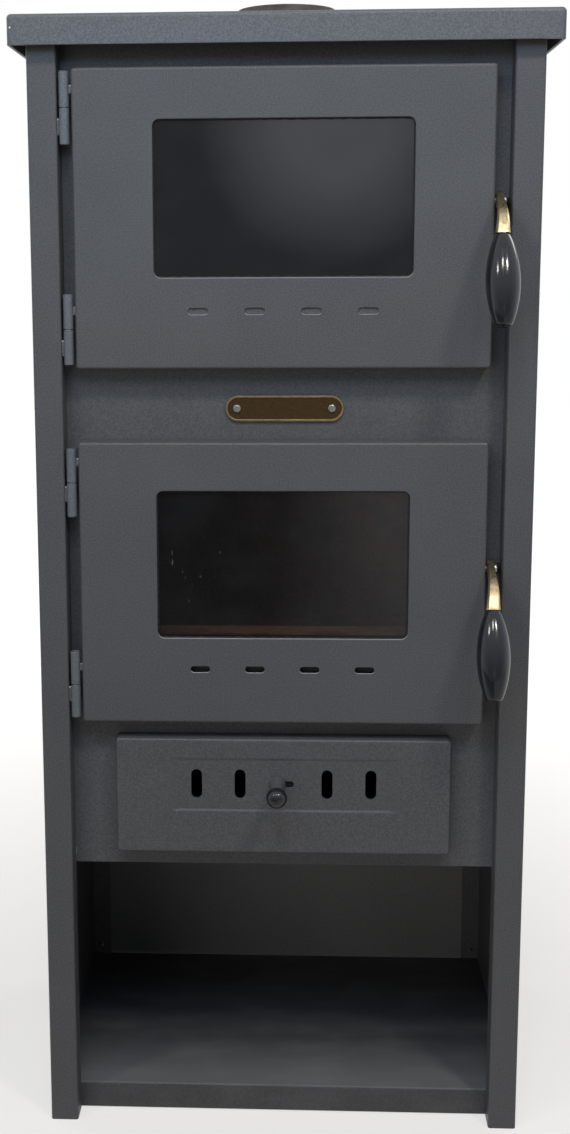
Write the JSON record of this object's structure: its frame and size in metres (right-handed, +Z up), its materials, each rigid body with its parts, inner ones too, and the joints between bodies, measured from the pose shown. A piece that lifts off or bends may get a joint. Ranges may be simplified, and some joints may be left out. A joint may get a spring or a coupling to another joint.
{
  "type": "tower wood stove with oven",
  "caption": "Narrow upright steel range cooker with an oven door above a firebox door, ash drawer with air slide, open wood store, top plate and flue collar.",
  "frame": {"origin": "on the floor, under the middle of the whole stove's bounding box", "axes": "+Z up, -Y towards the front with the doors, +X to the right seen from the front"},
  "size_m": [0.493, 0.439, 1.104],
  "materials": {
    "body_paint": "fine-textured satin anthracite heat-proof paint",
    "bare_steel": "dull rolled steel",
    "flue_steel": "brownish weathered weld-on collar",
    "grate_iron": "as cast",
    "fire_brick": "rough orange-buff",
    "shelf_wire": "plated wire",
    "door_glass": "clear heat-proof glass, dark behind",
    "seal_rope": "woven glass fibre",
    "glass_tape": "black woven glass tape",
    "handle_brass": "polished, slightly worn",
    "badge_brass": "brushed, bare",
    "black_gloss": "glossy black bakelite",
    "zinc_screws": "bright zinc plated"
  },
  "bodies": {
    "stove": {"top_plate": "body_paint", "flue_spigot": "flue_steel", "side_panel_right": "body_paint", "side_panel_left": "body_paint", "back_panel": "body_paint", "back_panel_screws": "zinc_screws", "front_panel": "body_paint", "wood_store_floor": "body_paint", "wood_store_roof": "body_paint", "combustion_casing": "bare_steel", "fire_bed": "bare_steel", "fire_grate": "grate_iron", "bricks_left": "fire_brick", "bricks_right": "fire_brick", "bricks_back": "fire_brick", "brick_log_guard": "fire_brick", "smoke_baffle": "bare_steel", "badge_plate": "badge_brass", "badge_screws": "zinc_screws", "ash_box_rails": "bare_steel", "oven_box": "bare_steel", "oven_shelf_rails": "bare_steel", "oven_shelf": "shelf_wire", "oven_hinge_post_knuckles": "body_paint", "oven_hinge_pins": "bare_steel", "oven_handle_keeper": "bare_steel", "firebox_hinge_post_knuckles": "body_paint", "firebox_hinge_pins": "bare_steel", "firebox_handle_keeper": "bare_steel"},
    "ash_drawer": {"ash_drawer_front": "body_paint", "air_shutter_guides": "bare_steel", "ash_box": "bare_steel"},
    "air_slide": {"air_shutter": "bare_steel", "air_knob_stem": "body_paint", "air_knob_ball": "black_gloss"},
    "oven_door": {"oven_door_panel": "body_paint", "oven_glass": "door_glass", "oven_glass_gaskets": "glass_tape", "oven_glass_fixings": "zinc_screws", "oven_seal_channel": "bare_steel", "oven_rope_seal": "seal_rope", "oven_hinge_door_knuckles": "body_paint", "oven_handle_pivot": "zinc_screws", "oven_door_liner": "bare_steel", "oven_slot_cover": "body_paint"},
    "oven_handle": {"oven_handle_lever": "handle_brass", "oven_handle_grip": "black_gloss"},
    "firebox_door": {"firebox_door_panel": "body_paint", "firebox_glass": "door_glass", "firebox_glass_gaskets": "glass_tape", "firebox_glass_fixings": "zinc_screws", "firebox_seal_channel": "bare_steel", "firebox_rope_seal": "seal_rope", "firebox_hinge_door_knuckles": "body_paint", "firebox_handle_pivot": "zinc_screws", "firebox_door_liner": "bare_steel"},
    "firebox_handle": {"firebox_handle_lever": "handle_brass", "firebox_handle_grip": "black_gloss"}
  },
  "joints": [
    {"name": "oven_door_hinge", "type": "hinge", "parent": "stove", "child": "oven_door", "pos_m": [-0.1987, -0.14403, 0.88725], "axis": [0, 0, -1], "range_deg": [0, 120]},
    {"name": "oven_handle_pivot", "type": "hinge", "parent": "oven_door", "child": "oven_handle", "pos_m": [0.194, -0.13853, 0.9025], "axis": [-1, 0, 0], "range_deg": [0, 70]},
    {"name": "firebox_door_hinge", "type": "hinge", "parent": "stove", "child": "firebox_door", "pos_m": [-0.1987, -0.14403, 0.54975], "axis": [0, 0, -1], "range_deg": [0, 120]},
    {"name": "firebox_handle_pivot", "type": "hinge", "parent": "firebox_door", "child": "firebox_handle", "pos_m": [0.194, -0.13853, 0.565], "axis": [-1, 0, 0], "range_deg": [0, 70]},
    {"name": "ash_drawer_slide", "type": "slide", "parent": "stove", "child": "ash_drawer", "axis": [0, -1, 0], "range_m": [0, 0.22]},
    {"name": "air_slide", "type": "slide", "parent": "ash_drawer", "child": "air_slide", "axis": [1, 0, 0], "range_m": [0, 0.0126]}
  ]
}
